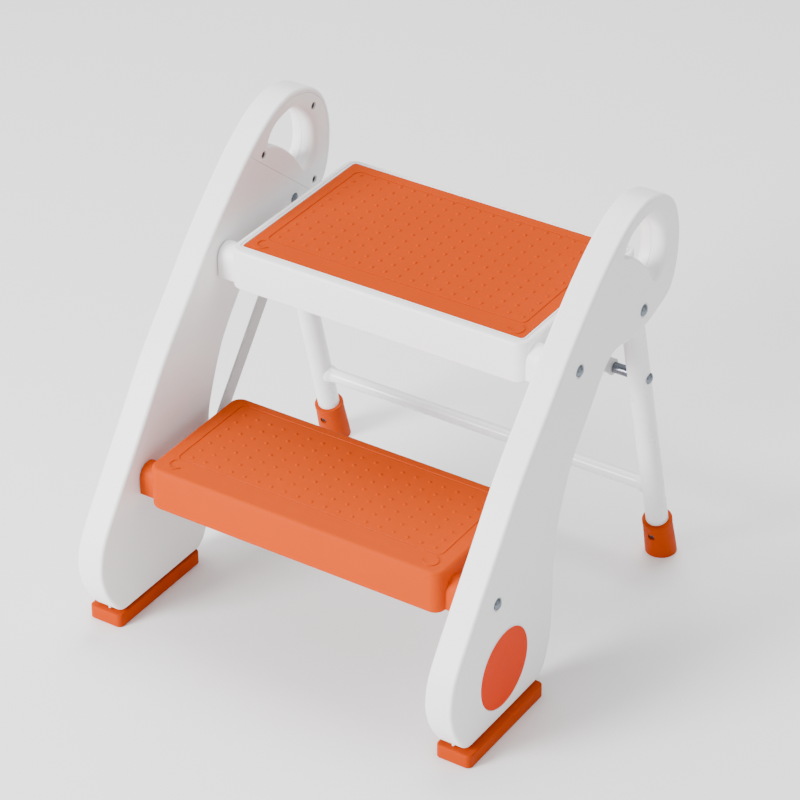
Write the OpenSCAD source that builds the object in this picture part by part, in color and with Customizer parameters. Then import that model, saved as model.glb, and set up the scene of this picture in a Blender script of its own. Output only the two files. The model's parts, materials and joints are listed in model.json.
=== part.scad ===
// Folding two-step stool. +Z is up, +Y runs from the lower step to the rear legs,
// and the origin is on the floor in the middle of the footprint.
// Places in Y are measured from the front edge of the sole pads (see y_mid).

/* [Overall] */
// Width over the two sole pads
stool_w = 481; // [400:1:600]
// Height of the lower step above the floor
lower_step_h = 196; // [175:1:240]
// Height of the upper step above the floor
upper_step_h = 383; // [345:1:460]
// Height of the hand grips above the upper step
grip_rise = 109.5; // [100:0.5:140]
// Lean of the rear legs from upright, in degrees
leg_lean = 15; // [12:0.5:18]

/* [Side panels] */
// Wall of the moulded side panel
panel_wall = 2.8; // [2:0.1:4]
// Room between the leg tube and the panel wall, on each side
leg_room = 0.95; // [0.8:0.05:2.5]
// How far the sole pad stands out past the outer face of the panel
pad_ledge = 7.5; // [2:0.5:9]
// How far the sole pad stands in past the inner face of the panel
pad_ledge_in = 2; // [0:0.5:4]
// Length of a sole pad
pad_l = 147; // [135:1:160]
// Height of a sole pad
pad_h = 16; // [12:0.5:22]
// Radius of the round badge on the outer face
badge_r = 46; // [30:0.5:50]
// Thickness of the round badge
badge_t = 1.4; // [1:0.1:2]

/* [Steps] */
// Gap between the end of a step and the inner face of a panel
step_side_gap = 20; // [18:0.5:26]
// Depth of the lower step, front to rear
lower_step_d = 164; // [140:1:180]
// Thickness of the lower step at its edge
lower_step_t = 49; // [46:1:60]
// Depth of the upper step, front to rear
upper_step_d = 234; // [200:1:250]
// Thickness of the upper step at its edge
upper_step_t = 47; // [44:1:56]
// Wall of the moulded steps
step_wall = 3; // [2:0.25:4]
// Radius of the upright corners of the steps
step_corner_r = 13; // [8:0.5:16]
// Width of the white frame around the mat
mat_border = 9; // [7:0.5:14]
// Thickness of the mat
mat_t = 5; // [3:0.5:7]

/* [Rear legs] */
// Outer diameter of the leg tube
leg_d = 25; // [22:0.5:28]
// Wall of the leg tube
leg_wall = 1.5; // [1:0.1:2]
// Diameter of the crossbar
crossbar_d = 16; // [12:0.5:19]
// Height of the crossbar above the floor
crossbar_h = 99; // [80:1:140]
// Height of the top of a foot cap above the floor
cap_h = 50; // [42:1:65]
// Wall of the foot cap at its upper lip
cap_wall = 3.6; // [3:0.1:5]

/* [Pins and bars] */
// Diameter of the two through axles and the leg pivots
axle_d = 8; // [6:0.5:10]
// Diameter of the domed heads
head_d = 13; // [11.5:0.5:16]
// Diameter of the link and stay rivets
rivet_d = 6; // [5:0.5:6.5]
// Thickness of the flat bars
bar_t = 3; // [2:0.25:3.5]
// Width of the flat bars
bar_w = 17; // [15:0.5:19]

/* [Fits] */
// Radial clearance of a turning pin
pin_fit = 0.08; // [0.04:0.01:0.1]
// Gap between parts that must not rub
free_gap = 0.4; // [0.3:0.05:0.6]

/* [Hidden] */
$fn = 64;

// Across the stool, right-hand side
stay_standoff = 3;
bar_spacing = 3.4;
x_pad = stool_w/2;
panel_t = leg_d + 2*panel_wall + 2*leg_room;
x_out = x_pad - pad_ledge;
x_in = x_out - panel_t;
x_mid = (x_out + x_in)/2;
x_step = x_in - step_side_gap;
x_stay = x_step + stay_standoff;
x_link = x_stay + bar_t + bar_spacing;

// Places in [y, z]
lower_front = 36;
upper_front = 192.5;
lower_pivot = [lower_front + 26, lower_step_h - 29.5];
upper_pivot = [upper_front + 21.5, upper_step_h - 22.5];
leg_pivot = upper_pivot + [131, 4];
link_arm = [106, -13];
stay_drop = 102;
link_low = lower_pivot + link_arm;
link_top = upper_pivot + link_arm;
stay_foot = leg_pivot + stay_drop*[sin(leg_lean), -cos(leg_lean)];
stay_top = upper_pivot + [52, -13.5];
stay_hole = stay_top + [3.4, -0.8];
grip_top = upper_step_h + grip_rise;
grip_c = [leg_pivot[0] - 5, grip_top - 52.5];
leg_l = leg_pivot[1]/cos(leg_lean);
leg_foot_y = leg_pivot[0] + leg_l*sin(leg_lean);
cap_r_low = leg_d/2 + cap_wall + 1.5;
y_front = -24;
y_rear = leg_foot_y + cap_r_low/cos(leg_lean);
y_mid = (y_front + y_rear)/2;

// Pins
axle_r = axle_d/2;
rivet_r = rivet_d/2;
head_h = 3.2;
stay_rivet_r = 2.5;
stay_play = 3.65;
hub_r = 15;
hub_step = free_gap + 0.6;
link_hub_low_r = 8;
link_hub_top_r = 9;
stay_hub_r = 10;
washer_t = 0.6;
sleeve_r = axle_r + 4;
bar_eye = bar_w/2 + 0.7;
link_head_h = 2.2;
stay_head_h = 1.8;

// Side panel
sole_z = pad_h + 1;
cover_inset = 6;
cover_wall_x = x_in + 14;
cover_cut_front = grip_c + [-69, 6.5];
cover_cut_rear = grip_c + [31, -76];
cover_screws = [grip_c + [44.5, 20], grip_c + [-50, 3], grip_c + [44, -70]];
cover_boss_l = 6;
cover_screw_l = 21;
badge_c = [77, 77];
badge_gap = 1;
badge_seat = 1;
screw_r = 1.7;
screw_head_r = 3.6;
screw_head_h = 2;
pillar_r = 5;
pad_corner_r = 5;
plug_gap = 0.5;
plug_h = 0.8;
plug_front = 20;
plug_rear = 12;
plug_corner_r = 4;
pad_screws_y = [35, 112];
pad_screw_seat = 5;
nub_r = 1.6;
nub_y = 14;
leg_slot_low = 34;
leg_slot_h = 22;

// Steps
rib_t = 2.5;
top_t = 4;
groove_w = 1.4;
groove_lip = 1.6;
mat_drop = 0.6;
mat_gap = 0.3;
mat_corner_r = 4;

// Rear legs
tube_low = 16;
tube_top = leg_l + 9;
crossbar_at = [leg_foot_y - crossbar_h*tan(leg_lean), crossbar_h];
weld_l = 6;
weld_spread = 2.5;
cap_screw_z = 34;
plug_t = 3.6;

// ---- helpers --------------------------------------------------------------

// One point of a smooth curve through p1 and p2
function curve_at(p0, p1, p2, p3, t) = 0.5*(2*p1 + (p2 - p0)*t
    + (2*p0 - 5*p1 + 4*p2 - p3)*t*t + (3*p1 - p0 - 3*p2 + p3)*t*t*t);
// Smooth closed curve through every point of p, n steps between points
function closed_curve(p, n) = let (m = len(p)) [for (i = [0:m-1]) for (k = [0:n-1])
    curve_at(p[(i+m-1)%m], p[i], p[(i+1)%m], p[(i+2)%m], k/n)];
// Smooth open curve through p
function open_curve(p, n) = let (m = len(p)) concat([for (i = [0:m-2]) for (k = [0:n-1])
    curve_at(p[max(i-1, 0)], p[i], p[i+1], p[min(i+2, m-1)], k/n)], [p[m-1]]);
function unit(v) = v/norm(v);
// Outline moved inwards by d (outlines run anticlockwise)
function inset(p, d) = let (m = len(p)) [for (i = [0:m-1])
    let (a = unit(p[i] - p[(i+m-1)%m]), b = unit(p[(i+1)%m] - p[i]), n = unit(a + b))
    p[i] + d*[-n[1], n[0]]/max(0.5, n*a)];

// Everything is drawn from the front of the pads and then moved to the origin
module in_place() translate([0, -y_mid, 0]) children();
// side is 1 for right, -1 for left
module on_side(side) mirror([side < 0 ? 1 : 0, 0, 0]) children();
// A flat [y, z] shape given thickness along X
module slab(x0, x1) translate([x0, 0, 0]) rotate([90, 0, 90]) linear_extrude(x1 - x0) children();
// Round bar along X at a [y, z] place
module bar_x(at, r, x0, x1) translate([x0, at[0], at[1]]) rotate([0, 90, 0]) cylinder(r = r, h = x1 - x0);
// Domed head along X that grows away from x0
module dome(at, r, x0, h) translate([x0, at[0], at[1]]) rotate([0, 90, 0])
    rotate_extrude() let (ball = (r*r + h*h)/(2*h), a = asin(r/ball))
        polygon(concat([[0, 0]], [for (i = [0:8]) let (b = a*(1 - i/8))
            [ball*sin(b), h - ball + ball*cos(b)]]));
module rounded_plan(x, y0, y1, r) {
    translate([-x, y0 + r]) square([2*x, y1 - y0 - 2*r]);
    translate([-x + r, y0]) square([2*x - 2*r, y1 - y0]);
    for (sx = [-1, 1]) for (y = [y0 + r, y1 - r]) translate([sx*(x - r), y]) circle(r);
}
// Children stand on the leg: +Z runs up the tube, the origin is where its axis meets the floor
module on_leg(x) translate([x, leg_foot_y, 0]) rotate([leg_lean, 0, 0]) children();

// ---- side panel -----------------------------------------------------------

function panel_outline() = let (lp = lower_pivot, up = upper_pivot, kp = leg_pivot, g = grip_c) concat(
    [[16, sole_z], [146, sole_z]],
    open_curve([[151, sole_z + 1.8], [160.5, sole_z + 12], [172.5, 64], [174.5, 120],
        lp + [114.2, -3.7], lp + [118.8, 27], lp + [139, 78.5], up + [3, -89.4], up + [29, -56.5],
        up + [51.8, -28.2], up + [65.3, -18.1], up + [80, -15.2], up + [105.8, -18.4], kp + [4, -22],
        kp + [31, -14.9], kp + [57, -2.5], g + [74.7, -49], g + [76.7, -12], g + [66.5, 20.5],
        g + [48.5, 39.5], g + [25, 50], g + [-3, 52.3], g + [-40, 40.3], up + [39.5, 87],
        up + [-15.7, 34.5], up + [-61.7, -17.2], lp + [40, 119], lp + [-3.6, 58.2],
        lp + [-44, 2], lp + [-77.5, -47.4], [y_front, 89], [-21.8, 67], [-13.5, 46],
        [0.5, sole_z + 8], [8.5, sole_z + 1.5]], 4));

// Finger opening of the hand grip, in the same turning sense as the panel outline
function hand_hole() = closed_curve([for (p = [[-42, 11], [-36, 7], [-25, 2.5], [-12, -7], [0, -18],
    [11.5, -31], [18.5, -42], [25, -48], [33, -44.5], [40.5, -36], [44, -24], [43, -10], [39, 4],
    [31, 16], [20, 26], [8, 32.5], [-8, 34], [-24, 30.5], [-36, 22]]) grip_c + p], 4);
hole_ring = hand_hole();

// Half plane above the parting line of the handle cover, moved by d
module above_cut(d) {
    along = unit(cover_cut_rear - cover_cut_front);
    up = [-along[1], along[0]];
    a = cover_cut_front + d*up;
    polygon([a - 80*along, a + 220*along, a + 220*along + 220*up, a - 80*along + 220*up]);
}

module panel_bores() {
    for (p = [lower_pivot, upper_pivot, leg_pivot]) bar_x(p, axle_r + pin_fit/2, x_in - 1, x_out + 1);
    for (s = cover_screws) bar_x(s, screw_r, x_in, x_out - panel_wall);
}

module panel_shell() {
    outer = panel_outline();
    wall = inset(outer, panel_wall);
    difference() {
        union() {
            difference() {
                slab(x_in, x_out) polygon(outer);
                slab(x_in + panel_wall, x_out - panel_wall) polygon(wall);
                slab(x_in - 1, x_in + panel_wall + 1) intersection() {
                    polygon(inset(outer, cover_inset));
                    above_cut(0);
                }
                slab(x_out - badge_seat, x_out + 1) translate(badge_c) circle(badge_r + badge_gap);
                // the leg comes out of the lower edge of the head and swings forward
                slab(x_mid - leg_d/2 - leg_room/2, x_mid + leg_d/2 + leg_room/2)
                    translate(leg_pivot + [-leg_d/2 - 15, -leg_slot_low]) square([leg_d + 25, leg_slot_h]);
            }
            for (p = [lower_pivot, upper_pivot]) bar_x(p, sleeve_r, x_in, x_out);
            bar_x(leg_pivot, sleeve_r, x_in, x_mid - leg_d/2 - free_gap);
            bar_x(leg_pivot, sleeve_r, x_mid + leg_d/2 + free_gap, x_out);
            for (s = cover_screws) bar_x(s, pillar_r, x_in + cover_boss_l + free_gap, x_out - 1);
            slab(cover_wall_x + free_gap, x_out) polygon(inset(hole_ring, -panel_wall));
            // low moulding nub over the front of the pad
            translate([x_mid, nub_y, sole_z - 0.5]) cylinder(r = nub_r, h = 3);
        }
        slab(x_in - 1, x_out + 1) polygon(hole_ring);
        panel_bores();
        for (y = pad_screws_y) translate([x_mid, y, sole_z - 1])
            cylinder(r = screw_r + 0.3, h = panel_wall + 2);
    }
}

module left_panel() color("white") in_place() on_side(-1) panel_shell();
module right_panel() color("white") in_place() on_side(1) panel_shell();

module handle_cover() {
    outer = inset(panel_outline(), cover_inset + free_gap);
    difference() {
        union() {
            slab(x_in, x_in + panel_wall) intersection() {
                polygon(outer);
                above_cut(free_gap);
            }
            slab(x_in, cover_wall_x) polygon(inset(hole_ring, -panel_wall));
            for (s = cover_screws) bar_x(s, pillar_r, x_in, x_in + cover_boss_l);
        }
        slab(x_in - 1, cover_wall_x + 1) polygon(hole_ring);
        for (s = cover_screws) {
            bar_x(s, screw_r + 0.2, x_in - 1, x_in + cover_boss_l + 1);
            bar_x(s, screw_head_r + 0.2, x_in - 1, x_in + screw_head_h + 1);
        }
    }
}
module left_handle_cover() color("whitesmoke") in_place() on_side(-1) handle_cover();
module right_handle_cover() color("whitesmoke") in_place() on_side(1) handle_cover();

module cover_screw_set() for (s = cover_screws) {
    bar_x(s, screw_head_r, x_in + 1, x_in + screw_head_h + 1);
    bar_x(s, screw_r - 0.05, x_in + screw_head_h + 0.5, x_in + cover_screw_l);
}
module left_cover_screws() color("dimgray") in_place() on_side(-1) cover_screw_set();
module right_cover_screws() color("dimgray") in_place() on_side(1) cover_screw_set();

module badge() bar_x(badge_c, badge_r, x_out - badge_seat, x_out - badge_seat + badge_t);
module left_badge() color("orangered") in_place() on_side(-1) badge();
module right_badge() color("orangered") in_place() on_side(1) badge();

// ---- sole pads ------------------------------------------------------------

module sole_pad() difference() {
    union() {
        translate([(x_pad + x_in - pad_ledge_in)/2, 0, 0]) linear_extrude(pad_h)
            rounded_plan((x_pad - x_in + pad_ledge_in)/2, 0, pad_l, pad_corner_r);
        // raised seat that carries the lower edge of the panel
        translate([x_mid, 0, pad_h - 1]) linear_extrude(1 + plug_h)
            rounded_plan(panel_t/2 - panel_wall - plug_gap, plug_front, pad_l - plug_rear, plug_corner_r);
    }
    for (y = pad_screws_y) translate([x_mid, y, -1]) {
        cylinder(r = screw_r + 0.2, h = pad_h + pad_screw_seat);
        cylinder(r = screw_head_r + 0.4, h = pad_screw_seat + 1);
    }
    translate([x_mid, nub_y, pad_h - 1]) cylinder(r = nub_r + free_gap, h = 3);
}
module left_sole_pad() color("darkorange") in_place() on_side(-1) sole_pad();
module right_sole_pad() color("darkorange") in_place() on_side(1) sole_pad();

module sole_pad_screws() color("dimgray") in_place() for (side = [-1, 1]) on_side(side)
    for (y = pad_screws_y) translate([x_mid, y, pad_screw_seat - screw_head_h]) {
        cylinder(r = screw_head_r, h = screw_head_h);
        cylinder(r = screw_r, h = pad_h + screw_head_h + 3);
    }

// ---- axles and pivots of the panels ---------------------------------------

module through_axle(at) {
    bar_x(at, axle_r, -x_out - 0.1, x_out + 0.1);
    for (side = [-1, 1]) on_side(side) dome(at, head_d/2, x_out, head_h);
}
module lower_axle() color("silver") in_place() through_axle(lower_pivot);
module upper_axle() color("silver") in_place() through_axle(upper_pivot);

module ring_x(at, r_out, r_in, x0, x1) difference() {
    bar_x(at, r_out, x0, x1);
    bar_x(at, r_in, x0 - 1, x1 + 1);
}
module axle_washers() color("gainsboro") in_place() for (side = [-1, 1]) on_side(side)
    for (p = [lower_pivot, upper_pivot])
        ring_x(p, sleeve_r, axle_r + pin_fit, x_in - washer_t, x_in);

module leg_pivot_pin() {
    bar_x(leg_pivot, axle_r, x_in - 1, x_out + 0.1);
    dome(leg_pivot, head_d/2, x_out, head_h);
    on_side(-1) dome(leg_pivot, head_d/2, -x_in, head_h);
}
module left_leg_pivot() color("silver") in_place() on_side(-1) leg_pivot_pin();
module right_leg_pivot() color("silver") in_place() on_side(1) leg_pivot_pin();

// ---- steps ----------------------------------------------------------------

// Block with an open underside, a grid of ribs below the top and a hub at each end
module step_block(y0, depth, z_top, thick, plate, pivot, nx, ny, extra_hubs) {
    difference() {
        union() {
            difference() {
                translate([0, 0, z_top - thick]) linear_extrude(thick)
                    rounded_plan(x_step, y0, y0 + depth, step_corner_r);
                translate([0, 0, z_top - thick - 1]) linear_extrude(thick - plate + 1)
                    rounded_plan(x_step - step_wall, y0 + step_wall, y0 + depth - step_wall,
                        step_corner_r - step_wall);
            }
            for (i = [1:nx-1]) translate([-x_step + i*2*x_step/nx - rib_t/2, y0 + 1, z_top - thick + 4])
                cube([rib_t, depth - 2, thick - 5]);
            for (i = [1:ny-1]) translate([-x_step + 1, y0 + i*depth/ny - rib_t/2, z_top - thick + 4])
                cube([2*x_step - 2, rib_t, thick - 5]);
            for (side = [-1, 1]) on_side(side) {
                bar_x(pivot, hub_r, x_step - 12, x_in - hub_step);
                // the hub's lower front is squared off as a block
                translate([x_step - 1, pivot[0] - hub_r, z_top - thick + 3])
                    cube([x_in - hub_step - x_step + 1, hub_r, pivot[1] - (z_top - thick + 3)]);
                for (h = extra_hubs) bar_x(h[0], h[1], x_step - 10, h[2]);
            }
        }
        bar_x(pivot, axle_r + pin_fit, -x_in, x_in);
        for (side = [-1, 1]) on_side(side) for (h = extra_hubs) bar_x(h[0], h[3], x_step - 11, x_in);
    }
}

module lower_step() color("darkorange") in_place()
    step_block(lower_front, lower_step_d, lower_step_h, lower_step_t, top_t, lower_pivot, 8, 4,
        [[link_low, link_hub_low_r, x_link - free_gap, rivet_r]]);

module upper_tray() color("white") in_place() difference() {
    step_block(upper_front, upper_step_d, upper_step_h, upper_step_t, top_t + mat_t + mat_drop,
        upper_pivot, 8, 5,
        [[link_top, link_hub_top_r, x_link - free_gap, rivet_r],
         [stay_top, stay_hub_r, x_stay - free_gap, stay_rivet_r]]);
    translate([0, 0, upper_step_h - mat_t - mat_drop]) linear_extrude(mat_t + 2) mat_plan(0);
    // narrow groove around the mat seat
    translate([0, 0, upper_step_h - 2]) linear_extrude(3) difference() {
        mat_plan(groove_lip + groove_w);
        mat_plan(groove_lip);
    }
}
// Plan of the mat seat, with its edge moved outwards by grow
module mat_plan(grow) rounded_plan(x_step - mat_border + grow, upper_front + mat_border + 3 - grow,
    upper_front + upper_step_d - mat_border + 2 + grow, mat_corner_r + grow);

module step_mat() color("darkorange") in_place()
    translate([0, 0, upper_step_h - mat_t - mat_drop]) linear_extrude(mat_t) mat_plan(-mat_gap);

// ---- rivets of the steps --------------------------------------------------

module link_rivet(at) {
    bar_x(at, rivet_r, x_step - 10, x_link + bar_t + free_gap + 0.1);
    dome(at, head_d/2, x_link + bar_t + free_gap, link_head_h);
}
module lower_link_rivets() color("silver") in_place() for (side = [-1, 1]) on_side(side) link_rivet(link_low);
module upper_link_rivets() color("silver") in_place() for (side = [-1, 1]) on_side(side) link_rivet(link_top);
module stay_rivets() color("silver") in_place() for (side = [-1, 1]) on_side(side) {
    bar_x(stay_top, stay_rivet_r, x_step - 10, x_stay + bar_t + free_gap + 0.1);
    dome(stay_top, stay_rivet_r + 2*stay_play + 1, x_stay + bar_t + free_gap, stay_head_h);
}

// ---- flat bars ------------------------------------------------------------

module flat_bar(a, b, eye_a, eye_b) {
    along = unit(b - a);
    across = bar_w/2*[-along[1], along[0]];
    translate(a) circle(eye_a);
    translate(b) circle(eye_b);
    polygon([a - across, b - across, b + across, a + across]);
}
module link_bar() difference() {
    slab(x_link, x_link + bar_t) flat_bar(link_low, link_top, bar_eye, bar_eye);
    for (p = [link_low, link_top]) bar_x(p, rivet_r + pin_fit, x_link - 1, x_link + bar_t + 1);
}
module left_link() color("gainsboro") in_place() on_side(-1) link_bar();
module right_link() color("gainsboro") in_place() on_side(1) link_bar();

module stay_bar() difference() {
    slab(x_stay, x_stay + bar_t) flat_bar(stay_foot, stay_hole, bar_eye, stay_rivet_r + stay_play + 4);
    bar_x(stay_foot, rivet_r + pin_fit, x_stay - 1, x_stay + bar_t + 1);
    bar_x(stay_hole, stay_rivet_r + stay_play + free_gap, x_stay - 1, x_stay + bar_t + 1);
}
module left_stay() color("gainsboro") in_place() on_side(-1) stay_bar();
module right_stay() color("gainsboro") in_place() on_side(1) stay_bar();

// ---- rear legs ------------------------------------------------------------

module leg_tube() difference() {
    on_leg(x_mid) translate([0, 0, tube_low]) difference() {
        cylinder(d = leg_d, h = tube_top - tube_low);
        translate([0, 0, -1]) cylinder(d = leg_d - 2*leg_wall, h = tube_top - tube_low + 2);
    }
    bar_x(leg_pivot, axle_r + pin_fit, x_mid - leg_d, x_mid + leg_d);
    bar_x(stay_foot, rivet_r, x_mid - leg_d, x_mid + leg_d);
}
module left_leg_tube() color("white") in_place() on_side(-1) leg_tube();
module right_leg_tube() color("white") in_place() on_side(1) leg_tube();

module crossbar() color("white") in_place() difference() {
    union() {
        bar_x(crossbar_at, crossbar_d/2, -x_mid, x_mid);
        // weld collars spread onto the tubes
        for (side = [-1, 1]) on_side(side)
            translate([x_mid - leg_d/2 - weld_l, crossbar_at[0], crossbar_at[1]]) rotate([0, 90, 0])
                cylinder(r1 = crossbar_d/2, r2 = crossbar_d/2 + weld_spread, h = weld_l + 4);
    }
    for (side = [-1, 1]) on_side(side) on_leg(x_mid) cylinder(d = leg_d, h = tube_top);
}

module foot_cap() difference() {
    intersection() {
        on_leg(x_mid) rotate_extrude() let (lip = cap_h/cos(leg_lean), r = leg_d/2 + cap_wall)
            polygon([[0, -12], [cap_r_low, -12], [cap_r_low, 8], [r + 0.1, lip - 7],
                [r + 0.7, lip - 6], [r + 0.7, lip - 0.8], [r - 0.1, lip], [0, lip]]);
        translate([x_mid - 40, leg_foot_y - 60, 0]) cube([80, 120, 90]);
    }
    on_leg(x_mid) translate([0, 0, tube_low]) cylinder(d = leg_d, h = 60);
    cap_screw_place() {
        translate([0, 0, leg_d/2 - 6]) cylinder(r = screw_r, h = 20);
        translate([0, 0, leg_d/2 + 1.2]) cylinder(r = screw_head_r + 0.6, h = 20);
    }
}
// The screw enters the front of the cap, square to the tube
module cap_screw_place() on_leg(x_mid) translate([0, 0, cap_screw_z/cos(leg_lean)])
    rotate([90, 0, 0]) children();
module left_foot_cap() color("darkorange") in_place() on_side(-1) foot_cap();
module right_foot_cap() color("darkorange") in_place() on_side(1) foot_cap();

module foot_cap_screws() color("dimgray") in_place() for (side = [-1, 1]) on_side(side)
    cap_screw_place() {
        translate([0, 0, leg_d/2 + 0.05]) cylinder(r = screw_r - 0.05, h = 2);
        translate([0, 0, leg_d/2 + 1.2]) cylinder(r = screw_head_r, h = 1.6);
    }

module leg_end_plugs() color("dimgray") in_place() for (side = [-1, 1]) on_side(side)
    on_leg(x_mid) translate([0, 0, tube_top - 3]) cylinder(d = leg_d - 2*leg_wall, h = plug_t);

// Rivet through the tube that holds the stay, with a spacer seated on the tube
module stay_pin() {
    bar_x(stay_foot, rivet_r, x_stay - free_gap - 0.1, x_mid + leg_d/2 + 0.1);
    dome(stay_foot, head_d/2, x_mid + leg_d/2, head_h);
    on_side(-1) dome(stay_foot, head_d/2, -x_stay + free_gap, stay_head_h);
    difference() {
        bar_x(stay_foot, rivet_r + 3, x_stay + bar_t + free_gap, x_mid - leg_d/2 + 2);
        on_leg(x_mid) cylinder(d = leg_d, h = tube_top);
        bar_x(stay_foot, rivet_r - 0.5, x_stay, x_mid);
    }
}
module left_stay_pin() color("silver") in_place() on_side(-1) stay_pin();
module right_stay_pin() color("silver") in_place() on_side(1) stay_pin();

left_panel();
right_panel();
left_handle_cover();
right_handle_cover();
left_cover_screws();
right_cover_screws();
left_badge();
right_badge();
left_sole_pad();
right_sole_pad();
sole_pad_screws();
lower_axle();
upper_axle();
axle_washers();
left_leg_pivot();
right_leg_pivot();
lower_step();
lower_link_rivets();
upper_tray();
step_mat();
upper_link_rivets();
stay_rivets();
left_link();
right_link();
left_leg_tube();
right_leg_tube();
crossbar();
left_foot_cap();
right_foot_cap();
foot_cap_screws();
leg_end_plugs();
left_stay_pin();
right_stay_pin();
left_stay();
right_stay();
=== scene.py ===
"""Looks of the folding step stool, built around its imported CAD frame.

Each kind of piece has its own operator, listed in the sidebar. Lengths in the code are
millimetres where a name ends in _mm, and metres elsewhere.
"""

import json
import math

import bmesh
import bpy
from mathutils import Matrix, Vector


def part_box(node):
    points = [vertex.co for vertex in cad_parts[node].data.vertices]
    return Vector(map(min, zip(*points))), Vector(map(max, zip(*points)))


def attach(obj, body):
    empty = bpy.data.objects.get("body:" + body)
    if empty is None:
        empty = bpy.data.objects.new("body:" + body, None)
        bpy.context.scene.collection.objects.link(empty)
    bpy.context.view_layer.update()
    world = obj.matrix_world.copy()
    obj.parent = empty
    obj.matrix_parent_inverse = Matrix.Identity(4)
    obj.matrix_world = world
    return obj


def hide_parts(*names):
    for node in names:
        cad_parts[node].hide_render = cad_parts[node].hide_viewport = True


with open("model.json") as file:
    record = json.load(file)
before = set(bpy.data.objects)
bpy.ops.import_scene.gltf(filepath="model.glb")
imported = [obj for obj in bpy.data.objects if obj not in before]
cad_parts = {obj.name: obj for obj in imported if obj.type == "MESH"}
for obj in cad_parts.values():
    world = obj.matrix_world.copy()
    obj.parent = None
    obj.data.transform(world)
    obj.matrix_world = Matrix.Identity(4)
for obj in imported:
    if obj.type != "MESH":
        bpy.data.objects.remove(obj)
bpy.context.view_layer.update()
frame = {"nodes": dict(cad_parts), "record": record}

bl_info = {
    "name": "Folding step stool",
    "version": (1, 0, 0),
    "blender": (4, 5, 0),
    "location": "View3D > Sidebar > Step stool",
    "description": "Builds the looks of a folding two-step stool around its CAD frame",
    "category": "Object",
}

MM = 0.001
SIDES = (("left", -1), ("right", 1))

# Sizes of the CAD source that its boxes don't give. The _MM ones run back from the pads' front.
LOWER_FRONT_MM = 36
UPPER_FRONT_MM = 192.5
UPPER_REAR_MM = 426.5
STEP_END = 0.1805
STEP_CORNER = 0.013
STEP_WALL = 0.003
RIB = 0.0025
HUB_R = 0.015
HUB_GAP = 0.001
BOSS_GAP = 0.0004
STAY_BOSS_BACK = 0.052
STAY_BOSS_DOWN = 0.0135
PANEL_WALL = 0.003
HEAD_R = 0.0065
HEAD_H = 0.0032
AXLE_R = 0.004
TUBE_R = 0.0125
LEAN = math.radians(15)
CAP_SCREW_UP = 0.034/math.cos(LEAN)

# How far raised details reach down into the face they stand on
SUNK = 0.0003


# ---- sizes and colours --------------------------------------------------------

def linear(code, alpha=1.0):
    """An sRGB hex colour as the linear values that a shader socket takes."""
    out = []
    for i in (1, 3, 5):
        c = int(code[i:i + 2], 16)/255
        out.append(c/12.92 if c <= 0.04045 else ((c + 0.055)/1.055)**2.4)
    return (*out, alpha)


def colour(name, description, code):
    """A colour that the user can change, with its default as an sRGB hex code."""
    return bpy.props.FloatVectorProperty(
        name=name, description=description, default=linear(code), size=4, min=0.0, max=1.0,
        subtype="COLOR")


class StoolLooks(bpy.types.PropertyGroup):
    """Sizes and colours of the details that the CAD frame leaves plain."""

    panel_colour: colour("Panels", "Side panels, handle covers and upper tray", "#F5F4F4")
    step_colour: colour("Lower step", "Moulded lower step", "#BE4200")
    mat_colour: colour("Mat", "Rubber mat of the upper step", "#BA3F00")
    pad_colour: colour("Feet", "Sole pads and foot caps", "#B23A00")
    badge_colour: colour("Badges", "Round badges on the outer faces", "#D83400")
    tube_colour: colour("Legs", "Powder-coated leg tubes and crossbar", "#F3F2F3")
    panel_edge: bpy.props.FloatProperty(
        name="Panel edge radius", description="Rounding of the outer edges of the side panels",
        default=0.0038, min=0.001, max=0.008, unit="LENGTH")
    grip_edge: bpy.props.FloatProperty(
        name="Grip edge radius", description="Rounding of the hand hole where the palm lies",
        default=0.0095, min=0.002, max=0.012, unit="LENGTH")
    step_edge: bpy.props.FloatProperty(
        name="Step edge radius", description="Rounding of the top edge of the lower step",
        default=0.0042, min=0.001, max=0.008, unit="LENGTH")
    tray_edge: bpy.props.FloatProperty(
        name="Tray edge radius", description="Rounding of the top edge of the upper step",
        default=0.003, min=0.0005, max=0.006, unit="LENGTH")
    dot_pitch: bpy.props.FloatProperty(
        name="Grip dot pitch", description="Distance between the raised dots on the steps",
        default=0.0158, min=0.008, max=0.03, unit="LENGTH")
    dot_radius: bpy.props.FloatProperty(
        name="Grip dot radius", description="Radius of a raised dot",
        default=0.0021, min=0.0008, max=0.004, unit="LENGTH")
    dot_height: bpy.props.FloatProperty(
        name="Grip dot height", description="Height of a raised dot",
        default=0.0010, min=0.0002, max=0.0015, unit="LENGTH")
    groove_width: bpy.props.FloatProperty(
        name="Frame groove width", description="Width of the fine groove around the dots",
        default=0.0018, min=0.0005, max=0.003, unit="LENGTH")
    groove_depth: bpy.props.FloatProperty(
        name="Frame groove depth", description="Depth of the fine groove around the dots",
        default=0.0008, min=0.0002, max=0.002, unit="LENGTH")
    part_gap: bpy.props.FloatProperty(
        name="Parting gap", description="Open line between a handle cover and its panel",
        default=0.00035, min=0.0001, max=0.001, unit="LENGTH")


def looks():
    """The sizes in use."""
    return bpy.context.scene.stool_looks


# ---- materials --------------------------------------------------------------

def add_node(tree, kind, inputs=None, **settings):
    """A shader node with its settings and input values."""
    node = tree.nodes.new(kind)
    for key, value in settings.items():
        setattr(node, key, value)
    for key, value in (inputs or {}).items():
        if isinstance(value, bpy.types.NodeSocket):
            tree.links.new(value, node.inputs[key])
        else:
            node.inputs[key].default_value = value
    return node


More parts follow.
